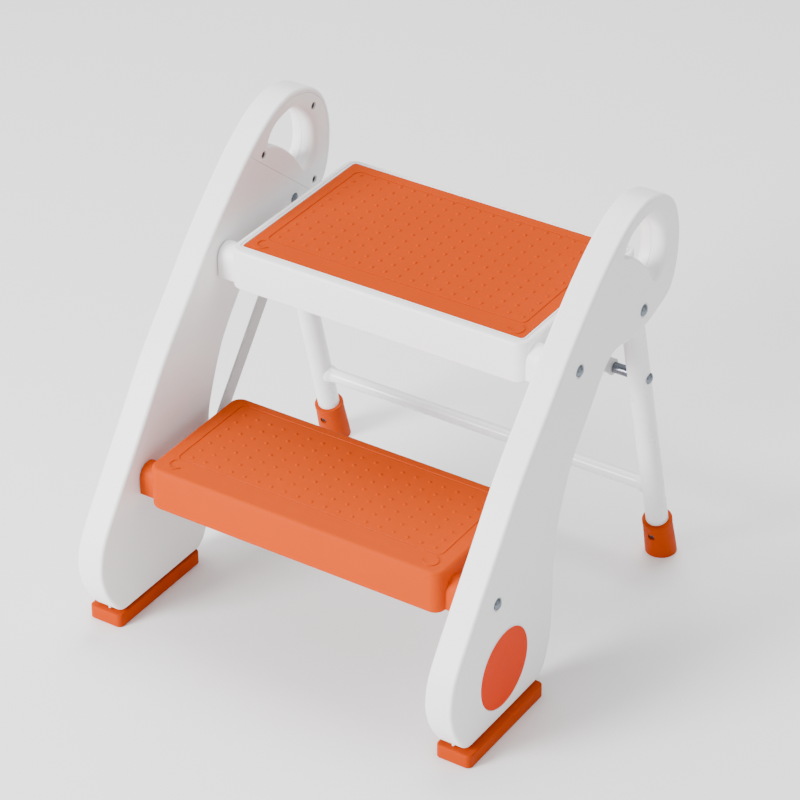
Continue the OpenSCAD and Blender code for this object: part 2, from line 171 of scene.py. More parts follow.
def finish_material(name, base, deep, rough, rough_spread, grain_mm, grain_depth, metallic=0.0,
                    coat=0.0, subsurface=0.0, specular=0.5):
    """A material whose colour, roughness and grain vary at real sizes.

    base is a linear colour, deep what it is multiplied by in its darkest patches, grain_mm the
    size of one grain and grain_depth how far it stands up, in metres.
    """
    if name in bpy.data.materials:
        return bpy.data.materials[name]
    mat = bpy.data.materials.new(name)
    mat.use_nodes = True
    tree = mat.node_tree
    tree.nodes.clear()
    out = add_node(tree, "ShaderNodeOutputMaterial")
    place = add_node(tree, "ShaderNodeTexCoord")
    clouds = add_node(tree, "ShaderNodeTexNoise", {
        "Vector": place.outputs["Object"], "Scale": 1/0.06, "Detail": 3.0, "Roughness": 0.55})
    colours = add_node(tree, "ShaderNodeMix", {"Factor": clouds.outputs["Fac"]}, data_type="RGBA")
    colours.inputs[6].default_value = tuple(base)
    colours.inputs[7].default_value = (*(c*deep for c in base[:3]), 1.0)
    smears = add_node(tree, "ShaderNodeTexNoise", {
        "Vector": place.outputs["Object"], "Scale": 1/0.018, "Detail": 4.0, "Roughness": 0.6})
    gloss = add_node(tree, "ShaderNodeMapRange", {
        "Value": smears.outputs["Fac"], "From Min": 0.3, "From Max": 0.7,
        "To Min": rough - rough_spread, "To Max": rough + rough_spread})
    grain = add_node(tree, "ShaderNodeTexNoise", {
        "Vector": place.outputs["Object"], "Scale": 1/(grain_mm*MM), "Detail": 2.0})
    bump = add_node(tree, "ShaderNodeBump", {
        "Height": grain.outputs["Fac"], "Strength": 1.0, "Distance": grain_depth})
    shader = add_node(tree, "ShaderNodeBsdfPrincipled", {
        "Base Color": colours.outputs[2], "Roughness": gloss.outputs["Result"],
        "Normal": bump.outputs["Normal"], "Metallic": metallic, "Coat Weight": coat,
        "Coat Roughness": 0.2, "Specular IOR Level": specular, "Subsurface Weight": subsurface,
        "Subsurface Scale": 0.002})
    tree.links.new(shader.outputs["BSDF"], out.inputs["Surface"])
    return mat


def moulded_white():
    """Moulded polypropylene with a fine spark-eroded skin: a soft broad highlight, no mirror."""
    return finish_material("polypropylene, white, spark-eroded mould", looks().panel_colour, 0.965,
                           0.46, 0.03, 0.9, 0.000012, subsurface=0.04)


def moulded_orange():
    """Moulded polypropylene with pigment through it: saturated, with a dull sheen on the edges."""
    return finish_material("polypropylene, orange, stippled mould", looks().step_colour, 0.93,
                           0.48, 0.04, 1.3, 0.00002, specular=0.05)


def rubber_orange():
    """Compression-moulded rubber mat: matte, a little darker in the hollows of its skin."""
    return finish_material("rubber mat, orange, compression moulded", looks().mat_colour, 0.92,
                           0.58, 0.05, 1.6, 0.000028, specular=0.04)


def pad_rubber():
    """Dense elastomer of the feet: deeper orange, matte with rubbed spots."""
    return finish_material("elastomer, deep orange, injection moulded", looks().pad_colour, 0.89,
                           0.52, 0.06, 1.1, 0.000025, specular=0.05)


def badge_plastic():
    """Pad-printed disc of polypropylene: a flat red-orange under a thin satin varnish."""
    return finish_material("polypropylene disc, red-orange, varnished", looks().badge_colour, 0.91,
                           0.42, 0.03, 0.7, 0.000008, specular=0.04)


def rim_plastic():
    """Bright edge of the badge seat: smooth moulded plastic, cooler than the panel."""
    return finish_material("polypropylene rim, cool white, polished mould", linear("#F2F6FA"), 0.95,
                           0.3, 0.02, 0.7, 0.000005)


def powder_coat():
    """Polyester powder coat on steel tube: white, faint orange-peel ripple, clear highlights."""
    return finish_material("steel tube, white polyester powder coat", looks().tube_colour, 0.95,
                           0.3, 0.04, 2.6, 0.00003, coat=0.35)


def bar_coat():
    """Thin grey powder coat on flat steel: duller than the tube, light grey."""
    return finish_material("flat steel bar, grey powder coat", linear("#C9C7C8"), 0.86,
                           0.42, 0.05, 1.8, 0.00002, coat=0.1)


def zinc():
    """Bright zinc plate on a cold-headed rivet: bluish metal with a soft blur."""
    return finish_material("steel rivet, bright zinc plate", linear("#7C848E"), 0.7,
                           0.24, 0.06, 0.8, 0.000012, metallic=1.0)


def dark_zinc():
    """Black-passivated zinc on small screws: dark, with a dull metal glint."""
    return finish_material("steel screw, black passivated zinc", linear("#6E6769"), 0.6,
                           0.42, 0.08, 0.6, 0.00001, metallic=0.8)


def grey_nylon():
    """Turned nylon: milky grey, waxy."""
    return finish_material("nylon, grey, moulded", linear("#A9A9AC"), 0.85, 0.5, 0.05, 0.8,
                           0.00001)


def studio_paper():
    """Seamless matte paper under and behind the object: pale, no shine."""
    return finish_material("studio paper, matte", linear("#FBFBFB"), 0.98, 0.9, 0.02, 2.0, 0.00001)


# ---- shapes -----------------------------------------------------------------

def on_x(u, v, w):
    """A point of a plate that lies in the Y-Z plane, w along X."""
    return Vector((w, u, v))


def on_z(u, v, w):
    """A point of a plate that lies flat, w along Z."""
    return Vector((u, v, w))


def area(loop):
    """Signed area of a loop, above zero where it runs anticlockwise."""
    return sum(a[0]*b[1] - b[0]*a[1] for a, b in zip(loop, loop[1:] + loop[:1]))/2


def anticlockwise(loop):
    """The loop, turned round if it runs clockwise."""
    return loop if area(loop) > 0 else loop[::-1]


def normals(loop):
    """Unit directions pointing out of an anticlockwise loop."""
    out = []
    for i in range(len(loop)):
        a, b = loop[i - 1], loop[(i + 1) % len(loop)]
        n = Vector((b[1] - a[1], a[0] - b[0]))
        out.append(n.normalized() if n.length else Vector((0, 0)))
    return out


def grown(loop, amounts):
    """The loop moved outwards point by point. amounts is one number or one for each point."""
    many = amounts if isinstance(amounts, (list, tuple)) else [amounts]*len(loop)
    return [(p[0] + n.x*d, p[1] + n.y*d) for p, n, d in zip(loop, normals(loop), many)]


def smooth_loop(loop, steps):
    """A smooth closed curve through the points of the loop."""
    out, m = [], len(loop)
    pts = [Vector(p) for p in loop]
    along = [(pts[(i + 1) % m] - pts[i - 1]).normalized() for i in range(m)]
    for i in range(m):
        j = (i + 1) % m
        a, b = pts[i], pts[j]
        reach = (b - a).length
        for k in range(steps):
            t = k/steps
            q = a*(1 + 2*t)*(1 - t)**2 + b*t*t*(3 - 2*t) \
                + reach*(along[i]*t*(1 - t)**2 - along[j]*t*t*(1 - t))
            out.append((q.x, q.y))
    return out


def round_rect(x0, y0, x1, y1, radius, steps=10):
    """Anticlockwise rectangle with rounded corners, always the same number of points."""
    out = []
    corners = ((x1 - radius, y1 - radius, 0), (x0 + radius, y1 - radius, 90),
               (x0 + radius, y0 + radius, 180), (x1 - radius, y0 + radius, 270))
    for cx, cy, start in corners:
        for k in range(steps + 1):
            a = math.radians(start + 90*k/steps)
            out.append((cx + radius*math.cos(a), cy + radius*math.sin(a)))
    return out


def clip(loop, point, normal):
    """The part of a closed loop on the side of a line that normal points to."""
    out = []
    side = [(p[0] - point[0])*normal[0] + (p[1] - point[1])*normal[1] for p in loop]
    for i, p in enumerate(loop):
        j = (i + 1) % len(loop)
        q = loop[j]
        if side[i] >= 0:
            out.append(p)
        if side[i]*side[j] < 0:
            t = side[i]/(side[i] - side[j])
            out.append((p[0] + t*(q[0] - p[0]), p[1] + t*(q[1] - p[1])))
    return out


def add_ring(bm, loop, w, place):
    """A closed ring of vertices. w is one height or one for each point."""
    heights = w if isinstance(w, (list, tuple)) else [w]*len(loop)
    return [bm.verts.new(place(p[0], p[1], h)) for p, h in zip(loop, heights)]


def bridge(bm, a, b):
    """A band of faces between two rings."""
    for i in range(len(a)):
        j = (i + 1) % len(a)
        bm.faces.new((a[i], a[j], b[j], b[i]))


def fill(bm, rings):
    """Flat face inside the first ring and outside the others."""
    edges = []
    for ring in rings:
        for i in range(len(ring)):
            ends = (ring[i - 1], ring[i])
            edges.append(bm.edges.get(ends) or bm.edges.new(ends))
    bmesh.ops.triangle_fill(bm, use_beauty=True, edges=edges)


def wall_rings(bm, loop, w0, w1, r0, r1, place, outward, steps=5):
    """The wall of a plate between two faces, rounded where it meets them.

    outward is 1 for the outer edge of a plate and -1 for a hole. r0 and r1 are one radius or one
    for each point. Gives back the ring on each face.
    """
    n = len(loop)
    r0 = r0 if isinstance(r0, list) else [r0]*n
    r1 = r1 if isinstance(r1, list) else [r1]*n
    rings = []
    for k in range(steps + 1):
        a = math.pi/2*k/steps
        moved = grown(loop, [-outward*r*(1 - math.sin(a)) for r in r0])
        rings.append(add_ring(bm, moved, [w0 + r*(1 - math.cos(a)) for r in r0], place))
    for k in range(steps + 1):
        a = math.pi/2*(1 - k/steps)
        moved = grown(loop, [-outward*r*(1 - math.sin(a)) for r in r1])
        rings.append(add_ring(bm, moved, [w1 - r*(1 - math.cos(a)) for r in r1], place))
    for a, b in zip(rings, rings[1:]):
        bridge(bm, a, b)
    return rings[0], rings[-1]


def plate(bm, outer, holes, w0, w1, r0, r1, place):
    """A flat plate with rounded edges. holes is a list of (loop, r0, r1)."""
    walls = [wall_rings(bm, anticlockwise(outer), w0, w1, r0, r1, place, 1)]
    for loop, h0, h1 in holes:
        walls.append(wall_rings(bm, anticlockwise(loop), w0, w1, h0, h1, place, -1))
    fill(bm, [w[0] for w in walls])
    fill(bm, [w[1] for w in walls])


def lathe(bm, profile, matrix, steps=48):
    """Turns a profile of (radius, height) pairs about Z and places it with matrix."""
    rings = []
    for r, h in profile:
        if r < 1e-7:
            rings.append([bm.verts.new(matrix @ Vector((0, 0, h)))])
        else:
            rings.append([bm.verts.new(matrix @ Vector((r*math.cos(a), r*math.sin(a), h)))
                          for a in (2*math.pi*k/steps for k in range(steps))])
    for a, b in zip(rings, rings[1:]):
        if len(a) == 1 and len(b) == 1:
            continue
        for i in range(steps):
            j = (i + 1) % steps
            if len(a) == 1:
                bm.faces.new((a[0], b[i], b[j]))
            elif len(b) == 1:
                bm.faces.new((a[i], a[j], b[0]))
            else:
                bm.faces.new((a[i], a[j], b[j], b[i]))


def box(bm, low, high):
    """A closed block between two corners."""
    made = bmesh.ops.create_cube(bm, size=1.0)
    size = [high[i] - low[i] for i in range(3)]
    mid = [(high[i] + low[i])/2 for i in range(3)]
    bmesh.ops.transform(bm, matrix=Matrix.Translation(mid) @ Matrix.Diagonal((*size, 1)),
                        verts=made["verts"])


def along_x(x, y, z, side=1):
    """Stands a lathed shape on a point with its height pointing away from the middle."""
    return Matrix.Translation((x, y, z)) @ Matrix.Rotation(side*math.pi/2, 4, "Y")


def dome_profile(radius, height, steps=8, lip=0.0):
    """Profile of a domed head, flat below, from its rim to its top."""
    ball = (radius*radius + height*height)/(2*height)
    top = math.asin(min(1.0, radius/ball))
    out = [(0, -lip), (radius, -lip)] if lip else [(0, 0), (radius, 0)]
    for k in range(steps + 1):
        a = top*(1 - k/steps)
        out.append((ball*math.sin(a), height - ball + ball*math.cos(a)))
    return out


def new_piece(name, bm, material, body, nodes=(), sharp=32.0, mirrored=False):
    """Turns a bmesh into a piece that rides on a CAD body and stands for CAD nodes."""
    if mirrored:
        bmesh.ops.transform(bm, matrix=Matrix.Diagonal((-1, 1, 1, 1)), verts=bm.verts)
    bmesh.ops.remove_doubles(bm, verts=bm.verts, dist=1e-7)
    bmesh.ops.recalc_face_normals(bm, faces=bm.faces)
    mesh = bpy.data.meshes.new(name)
    bm.to_mesh(mesh)
    bm.free()
    for face in mesh.polygons:
        face.use_smooth = True
    mesh.set_sharp_from_angle(angle=math.radians(sharp))
    obj = bpy.data.objects.new(name, mesh)
    bpy.context.collection.objects.link(obj)
    obj.data.materials.append(material)
    even = obj.modifiers.new("even shading", "WEIGHTED_NORMAL")
    even.mode = "FACE_AREA_WITH_ANGLE"
    even.keep_sharp = True
    if body:
        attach(obj, body)
    if nodes:
        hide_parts(*nodes)
    return obj


def mesh_of(bm, name):
    """A bare object for use as a cutter."""
    bmesh.ops.recalc_face_normals(bm, faces=bm.faces)
    mesh = bpy.data.meshes.new(name)
    bm.to_mesh(mesh)
    bm.free()
    obj = bpy.data.objects.new(name, mesh)
    bpy.context.collection.objects.link(obj)
    return obj


def cut(obj, cutter, how="DIFFERENCE"):
    """Cuts, joins or trims obj with cutter, and removes the cutter."""
    mod = obj.modifiers.new("cut", "BOOLEAN")
    mod.operation = how
    mod.solver = "EXACT"
    mod.object = cutter
    view = bpy.context.evaluated_depsgraph_get()
    mesh = bpy.data.meshes.new_from_object(obj.evaluated_get(view))
    obj.modifiers.remove(mod)
    old = obj.data
    obj.data = mesh
    bpy.data.meshes.remove(old)
    bpy.data.objects.remove(cutter, do_unlink=True)
    return obj


# ---- places taken from the CAD frame ------------------------------------------

def face_loops(node, x):
    """Closed edges of the flat face of a CAD node that lies at that x, as (y, z) loops."""
    obj = frame["nodes"][node]
    bm = bmesh.new()
    bm.from_mesh(obj.data)
    bmesh.ops.remove_doubles(bm, verts=bm.verts, dist=1e-6)
    flat = [f for f in bm.faces if all(abs(v.co.x - x) < 2e-5 for v in f.verts)]
    inside = set(flat)
    rim = [e for e in {e for f in flat for e in f.edges}
           if sum(1 for f in e.link_faces if f in inside) == 1]
    loops = []
    left = set(rim)
    while left:
        edge = left.pop()
        start, here = edge.verts
        path = [start, here]
        while here != start:
            step = next((e for e in here.link_edges if e in left), None)
            if step is None:
                break
            left.discard(step)
            here = step.other_vert(here)
            path.append(here)
        loops.append([(v.co.y, v.co.z) for v in path[:-1]])
    bm.free()
    return loops


def size_of(loop):
    """Width, height and middle of a (y, z) loop."""
    ys = [p[0] for p in loop]
    zs = [p[1] for p in loop]
    return max(ys) - min(ys), max(zs) - min(zs), (max(ys) + min(ys))/2, (max(zs) + min(zs))/2


def middle(node):
    """Middle of the box of a CAD node."""
    lo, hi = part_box(node)
    return [(a + b)/2 for a, b in zip(lo, hi)]


def joint_at(name):
    """Place of a joint of the record, as (x, y, z)."""
    joints = frame["record"]["behaviour"]["joints"]
    return next(j["pos_m"] for j in joints if j["name"] == name)


def x_planes():
    """Inner and outer face of the right-hand panel."""
    lo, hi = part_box("right_panel")
    return lo[0], hi[0]


def y_of(y_mm):
    """World y of a distance measured back from the front of the sole pads."""
    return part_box("left_sole_pad")[0][1] + y_mm*MM


# ---- side panels ----------------------------------------------------------------

def panel_loops():
    """Outline and hand hole of the right-hand panel, made smooth."""
    loops = face_loops("right_panel", x_planes()[1])
    outline = max(loops, key=lambda q: size_of(q)[1])
    hole = max((q for q in loops if q is not outline and size_of(q)[3] > 0.4),
               key=lambda q: size_of(q)[0])
    return smooth_loop(anticlockwise(outline), 3), smooth_loop(anticlockwise(hole), 3)


def grip_radii(hole, small, large):
    """Edge radius round the hand hole: large behind the fingers, small in front."""
    raw = []
    for n in normals(hole):
        t = max(0.0, min(1.0, (n.x + 0.25)/0.9))
        raw.append(small + (large - small)*t*t*(3 - 2*t))
    m = len(raw)
    return [sum(raw[(i + k) % m] for k in range(-9, 10))/19 for i in range(m)]


def panel_body():
    """The whole right-hand panel with its hand hole, before the cover is parted from it."""
    x_in, x_out = x_planes()
    outline, hole = panel_loops()
    radii = grip_radii(hole, 0.002, looks().grip_edge)
    edge = looks().panel_edge
    bm = bmesh.new()
    plate(bm, outline, [(hole, radii, radii)], x_in, x_out, edge, edge, on_x)
    return mesh_of(bm, "panel body")


def cover_line():
    """A point on the lower edge of the handle cover and the direction up from it."""
    low = face_loops("right_handle_cover", x_planes()[0])
    loop = anticlockwise(max(low, key=lambda q: size_of(q)[1]))
    longest = max(range(len(loop)), key=lambda i: (Vector(loop[i]) - Vector(loop[i - 1])).length)
    a, b = Vector(loop[longest - 1]), Vector(loop[longest])
    along = (b - a).normalized()
    up = Vector((-along.y, along.x))
    return a, up if up.y > 0 else -up


def cover_cutter(spread):
    """The space of the handle cover: a face plate and the first half of the hole's wall."""
    x_in = x_planes()[0]
    outline, hole = panel_loops()
    point, up = cover_line()
    frame_width, wall_depth, clear = 0.006, 0.0162, 0.004
    face = clip(grown(outline, spread - frame_width), point - up*spread, up)
    bm = bmesh.new()
    plate(bm, face, [], x_in - clear, x_in + PANEL_WALL + spread, 0.0, 0.0, on_x)
    cutter = mesh_of(bm, "cover face")
    bm = bmesh.new()
    plate(bm, grown(hole, PANEL_WALL + spread), [], x_in - clear, x_in + wall_depth + spread,
          0.0, 0.0, on_x)
    return cut(cutter, mesh_of(bm, "cover wall"), "UNION")


def screw_places():
    """Middles of the three cover screws on the right, as (y, z)."""
    bm = bmesh.new()
    bm.from_mesh(frame["nodes"]["right_cover_screws"].data)
    points = [(v.co.y, v.co.z) for v in bm.verts]
    bm.free()
    groups = []
    for p in points:
        for g in groups:
            if math.dist(p, g[0]) < 0.012:
                g.append(p)
                break
        else:
            groups.append([p])
    return [(size_of(g)[2], size_of(g)[3]) for g in groups]


def turned_cutter(places, profile, x, side):
    """One cutter turned from a profile at each (y, z) place."""
    bm = bmesh.new()
    for y, z in places:
        lathe(bm, profile, along_x(x, y, z, side), 40)
    return mesh_of(bm, "turned cutter")


class StoolPanels(bpy.types.Operator):
    """Both moulded side panels with rounded edges, badge seats and shadow rings at the axles."""
    bl_idname = "stool.panels"
    bl_label = "Side panels"

    def execute(self, context):
        x_in, x_out = x_planes()
        body = cut(panel_body(), cover_cutter(looks().part_gap/2))
        _, by, bz = middle("right_badge")
        seat = [(0, -0.001), (0.047, -0.001), (0.0476, 0.0003), (0.0476, 0.002), (0, 0.002)]
        cut(body, turned_cutter([(by, bz)], seat, x_out, 1))
        heads = [middle(n)[1:] for n in ("lower_axle", "upper_axle", "right_leg_pivot")]
        ring = [(0, -0.0011), (0.0074, -0.0011), (0.0081, 0.0001), (0.0081, 0.002), (0, 0.002)]
        cut(body, turned_cutter(heads, ring, x_out, 1))
        lo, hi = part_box("right_leg_tube")
        _, ky, kz = middle("right_leg_pivot")
        bm = bmesh.new()
        box(bm, (lo[0] - 0.0004, ky - 0.0275, kz - 0.034),
            (hi[0] + 0.0004, ky + 0.0225, kz - 0.012))
        cut(body, mesh_of(bm, "leg slot"))
        nub = bmesh.new()
        x_mid = (x_in + x_out)/2
        lathe(nub, [(0, 0), (0.0011, 0.0002), (0.0015, 0.001), (0.0015, 0.005), (0, 0.005)],
              Matrix.Translation((x_mid, y_of(6.5), 0.0172)), 20)
        bmesh.ops.recalc_face_normals(nub, faces=nub.faces)
        extra = bpy.data.meshes.new("nub")
        nub.to_mesh(extra)
        nub.free()
        for name, side in SIDES:
            bm = bmesh.new()
            bm.from_mesh(body.data)
            bm.from_mesh(extra)
            new_piece(f"panel_{name}", bm, moulded_white(), "side_frame", (f"{name}_panel",),
                      sharp=38, mirrored=side < 0)
        bpy.data.meshes.remove(extra)
        bpy.data.objects.remove(body, do_unlink=True)
        return {"FINISHED"}


class StoolCovers(bpy.types.Operator):
    """The handle covers on the inner faces, parted from the panels by a fine line."""
    bl_idname = "stool.covers"
    bl_label = "Handle covers"

    def execute(self, context):
        x_in, _ = x_planes()
        body = cut(panel_body(), cover_cutter(-looks().part_gap/2), "INTERSECT")
        bore = [(0, -0.003), (0.0043, -0.003), (0.0043, -0.0004), (0.0051, 0.0004),
                (0.0051, 0.003), (0, 0.003)]
        cut(body, turned_cutter(screw_places(), bore, x_in, -1))
        for name, side in SIDES:
            bm = bmesh.new()
            bm.from_mesh(body.data)
            new_piece(f"handle_cover_{name}", bm, moulded_white(), "side_frame",
                      (f"{name}_handle_cover",), sharp=38, mirrored=side < 0)
        bpy.data.objects.remove(body, do_unlink=True)
        return {"FINISHED"}


class StoolBadges(bpy.types.Operator):
    """The flush round badges, each with a thin bright rim."""
    bl_idname = "stool.badges"
    bl_label = "Badges"

    def execute(self, context):
        x_out = x_planes()[1]
        _, y, z = middle("right_badge")
        disc = [(0, -0.001), (0.0457, -0.001), (0.0457, 0.0), (0.0455, 0.00025),
                (0.0451, 0.0004), (0, 0.0004)]
        rim = [(0.0459, -0.001), (0.0475, -0.001), (0.0475, 0.0003), (0.0472, 0.0007),
               (0.0467, 0.0009), (0.0462, 0.0007), (0.0459, 0.0003), (0.0459, -0.001)]
        for name, side in SIDES:
            bm = bmesh.new()
            lathe(bm, disc, along_x(x_out, y, z), 128)
            new_piece(f"badge_{name}", bm, badge_plastic(), "side_frame", (f"{name}_badge",),
                      mirrored=side < 0)
            bm = bmesh.new()
            lathe(bm, rim, along_x(x_out, y, z), 128)
            new_piece(f"badge_rim_{name}", bm, rim_plastic(), "side_frame", (),
                      mirrored=side < 0)
        return {"FINISHED"}


class StoolPads(bpy.types.Operator):
    """The deep orange sole pads under the side panels."""
    bl_idname = "stool.pads"
    bl_label = "Sole pads"

    def execute(self, context):
        lo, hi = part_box("right_sole_pad")
        top = 0.016
        x_in, x_out = x_planes()
        for name, side in SIDES:
            bm = bmesh.new()
            plan = round_rect(lo[0], lo[1], hi[0], hi[1], 0.0062)
            plate(bm, plan, [], 0.0, top, 0.0012, 0.0017, on_z)
            seat = round_rect(x_in + 0.0035, lo[1] + 0.02, x_out - 0.0035, hi[1] - 0.012, 0.004)
            plate(bm, seat, [], top - 0.001, top + 0.0009, 0.0, 0.0003, on_z)
            new_piece(f"sole_pad_{name}", bm, pad_rubber(), "side_frame", (f"{name}_sole_pad",),
                      mirrored=side < 0)
        return {"FINISHED"}


# ---- steps ----------------------------------------------------------------------

def step_shell(bm, plan, w_top, w_low, edge, low_edge, wall, under, tops):
    """A moulded block: rounded outside, open below, with the top made of nested loops.

    tops is a list of (side, front, rear, corner radius, height) that runs inwards from the
    rounded edge.
    """
    x0, y0, x1, y1, r = plan

    def loop(inset):
        return round_rect(x0 + inset, y0 + inset, x1 - inset, y1 - inset, max(0.0015, r - inset))

    rings = [add_ring(bm, loop(wall), height, on_z) for height in (under, w_low + 0.001)]
    for radius, height, turn, steps in ((low_edge, w_low, 1, 5), (edge, w_top, -1, 7)):
        for k in range(steps + 1):
            a = math.pi/2*(k/steps if turn > 0 else 1 - k/steps)
            rings.append(add_ring(bm, loop(radius*(1 - math.sin(a))),
                                  height + turn*radius*(1 - math.cos(a)), on_z))
    for side, front, rear, corner, height in tops:
        inner = round_rect(x0 + side, y0 + front, x1 - side, y1 - rear, corner)
        rings.append(add_ring(bm, inner, height, on_z))
    for a, b in zip(rings, rings[1:]):
        bridge(bm, a, b)
    fill(bm, [rings[0]])
    fill(bm, [rings[-1]])


def groove_loops(side, front, rear, corner, top):
    """The four loops of the fine frame groove round the dots."""
    g, d = looks().groove_width, looks().groove_depth
    return [(side + g*k, front + g*k, rear + g*k, corner - g*k, top - d*low)
            for k, low in ((0.0, 0), (0.3, 1), (0.7, 1), (1.0, 0))]


def ribs(bm, plan, low, high, nx, ny):
    """A grid of stiffening ribs under a step, let into its walls."""
    x0, y0, x1, y1, _ = plan
    into = 0.002
    for i in range(1, nx):
        x = x0 + (x1 - x0)*i/nx
        box(bm, (x - RIB/2, y0 + into, low), (x + RIB/2, y1 - into, high))
    for i in range(1, ny):
        y = y0 + (y1 - y0)*i/ny
        box(bm, (x0 + into, y - RIB/2, low), (x1 - into, y + RIB/2, high))


def hubs(bm, pivot, z_low):
    """The D-shaped bosses that carry a step on its axle, each with a squared lower front."""
    y, z = pivot
    loop = [(y, z_low), (y - HUB_R, z_low), (y - HUB_R, z)]
    loop += [(y + HUB_R*math.cos(a), z + HUB_R*math.sin(a))
             for a in (math.pi - 1.5*math.pi*k/36 for k in range(1, 37))]
    x0, x1 = STEP_END - 0.002, x_planes()[0] - HUB_GAP
    for w0, w1 in ((-x1, -x0), (x0, x1)):
        plate(bm, loop[::-1], [], w0, w1, 0.0008, 0.0008, on_x)


def bosses(bm, y, z, radius, x_bar):
    """The round bosses at both ends of a step that hold the rivet of a flat bar."""
    start = STEP_END - 0.001
    height = x_bar - BOSS_GAP - start
    for side in (-1, 1):
        lathe(bm, [(0, 0), (radius, 0), (radius, height), (0, height)],
              along_x(side*start, y, z, side), 40)


def dots(bm, x_edge, y0, y1, z):
    """Raised dots in rows that fill the space up to x_edge on both sides and from y0 to y1."""
    s = looks()
    radius, height = s.dot_radius, s.dot_height
    nx, ny = int(x_edge/s.dot_pitch), int((y1 - y0)/s.dot_pitch)
    profile = [(radius, -SUNK), (radius*0.96, height*0.35), (radius*0.75, height*0.75),
               (radius*0.4, height*0.96), (0, height)]
    for i in range(-nx, nx + 1):
        for j in range(ny + 1):
            at = (i*x_edge/nx, y0 + j*(y1 - y0)/ny, z)
            lathe(bm, profile, Matrix.Translation(at), 14)


def crescents(bm, x, y, z):
    """A raised crescent at each front corner of a step, with its horns towards the dots."""
    outer, inner, shift, height = 0.0085, 0.0085*0.93, 0.0045/math.sqrt(2), 0.0009
    sweep = [math.radians(120 + 210*k/24) for k in range(25)]
    loop = [(outer*math.cos(a), outer*math.sin(a)) for a in sweep]
    loop += [(inner*math.cos(a) + shift, inner*math.sin(a) + shift) for a in sweep[::-1]]
    for side in (-1, 1):
        placed = [(side*(x - p[0]), y + p[1]) for p in loop]
        plate(bm, anticlockwise(placed), [], z - SUNK, z + height, 0.0, 0.0002, on_z)


class StoolLowerStep(bpy.types.Operator):
    """The orange lower step: rounded block, fine groove, grip dots, ribs and axle bosses."""
    bl_idname = "stool.lower_step"
    bl_label = "Lower step"

    def execute(self, context):
        (_, _, low), (_, y1, top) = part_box("lower_step")
        y0, top_wall = y_of(LOWER_FRONT_MM), 0.004
        plan = (-STEP_END, y0, STEP_END, y1, STEP_CORNER)
        bm = bmesh.new()
        tops = groove_loops(0.0165, 0.030, 0.0115, 0.0075, top)
        step_shell(bm, plan, top, low, looks().step_edge, 0.004, STEP_WALL, top - top_wall, tops)
        ribs(bm, plan, low + 0.004, top - top_wall + 0.0005, 8, 4)
        dots(bm, STEP_END - 0.03, y0 + 0.0395, y0 + 0.135, top)
        crescents(bm, STEP_END - 0.0215, y0 + 0.0175, top)
        hubs(bm, joint_at("lower_step_fold")[1:], low + 0.003)
        _, y, z = joint_at("right_link_pivot")
        bosses(bm, y, z, 0.008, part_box("right_link")[0][0])
        new_piece("lower_step_block", bm, moulded_orange(), "lower_tread", ("lower_step",))
        return {"FINISHED"}


class StoolUpperTray(bpy.types.Operator):
    """The white upper step: rounded rim, dark joint groove and seat for the mat."""
    bl_idname = "stool.upper_tray"
    bl_label = "Upper tray"

    def execute(self, context):
        (_, _, low), (_, _, top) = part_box("upper_tray")
        mat_lo, mat_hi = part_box("step_mat")
        y0, y1, top_wall, mat_gap = y_of(UPPER_FRONT_MM), y_of(UPPER_REAR_MM), 0.0096, 0.0003
        plan = (-STEP_END, y0, STEP_END, y1, STEP_CORNER)
        seat = STEP_END - mat_hi[0] - mat_gap
        bm = bmesh.new()
        front, rear = mat_lo[1] - y0 - seat - mat_gap, y1 - mat_hi[1] - seat - mat_gap
        steps = ((-0.0034, 0), (-0.0033, 0.0022), (-0.0016, 0.0022), (-0.0015, 0.0001),
                 (-0.0003, 0.0001), (0, 0.0004), (0.0001, top - mat_lo[2] + 0.0002))
        tops = [(seat + d, seat + front + d, seat + rear + d, 0.0043 - d, top - fall)
                for d, fall in steps]
        step_shell(bm, plan, top, low, looks().tray_edge, 0.0025, STEP_WALL, top - top_wall, tops)
        ribs(bm, plan, low + 0.004, top - 0.009, 8, 5)
        _, y, z = joint_at("upper_step_fold")
        hubs(bm, (y, z), low + 0.003)
        # the two steps and the link bars are a parallelogram
        _, link_y, link_z = joint_at("right_link_pivot")
        _, fold_y, fold_z = joint_at("lower_step_fold")
        bosses(bm, y + link_y - fold_y, z + link_z - fold_z, 0.009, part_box("right_link")[0][0])
        bosses(bm, y + STAY_BOSS_BACK, z - STAY_BOSS_DOWN, 0.01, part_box("right_stay")[0][0])
        new_piece("upper_tray_block", bm, moulded_white(), "upper_tread", ("upper_tray",))
        return {"FINISHED"}


class StoolMat(bpy.types.Operator):
    """The orange mat in the upper step, with its groove, grip dots and crescents."""
    bl_idname = "stool.mat"
    bl_label = "Step mat"

    def execute(self, context):
        lo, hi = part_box("step_mat")
        plan = (lo[0], lo[1], hi[0], hi[1], 0.004)
        top = hi[2]
        bm = bmesh.new()
        tops = groove_loops(0.0125, 0.0255, 0.0125, 0.0075, top)
        step_shell(bm, plan, top, lo[2], 0.0008, 0.0003, 0.002, lo[2] + 0.0012, tops)
        dots(bm, hi[0] - 0.0215, lo[1] + 0.0365, hi[1] - 0.0190, top)
        crescents(bm, hi[0] - 0.0150, lo[1] + 0.0125, top)
        new_piece("mat_sheet", bm, rubber_orange(), "upper_tread", ("step_mat",))
        return {"FINISHED"}


# ---- rear legs --------------------------------------------------------------------

def leg_frame():
    """Place of the right-hand leg: Z runs up the tube from where its axis meets the floor."""
    x = middle("right_leg_tube")[0]
    _, ky, kz = joint_at("leg_swing")
    place = Matrix.Translation((x, ky + kz*math.tan(LEAN), 0)) @ Matrix.Rotation(LEAN, 4, "X")
    return place, kz/math.cos(LEAN)


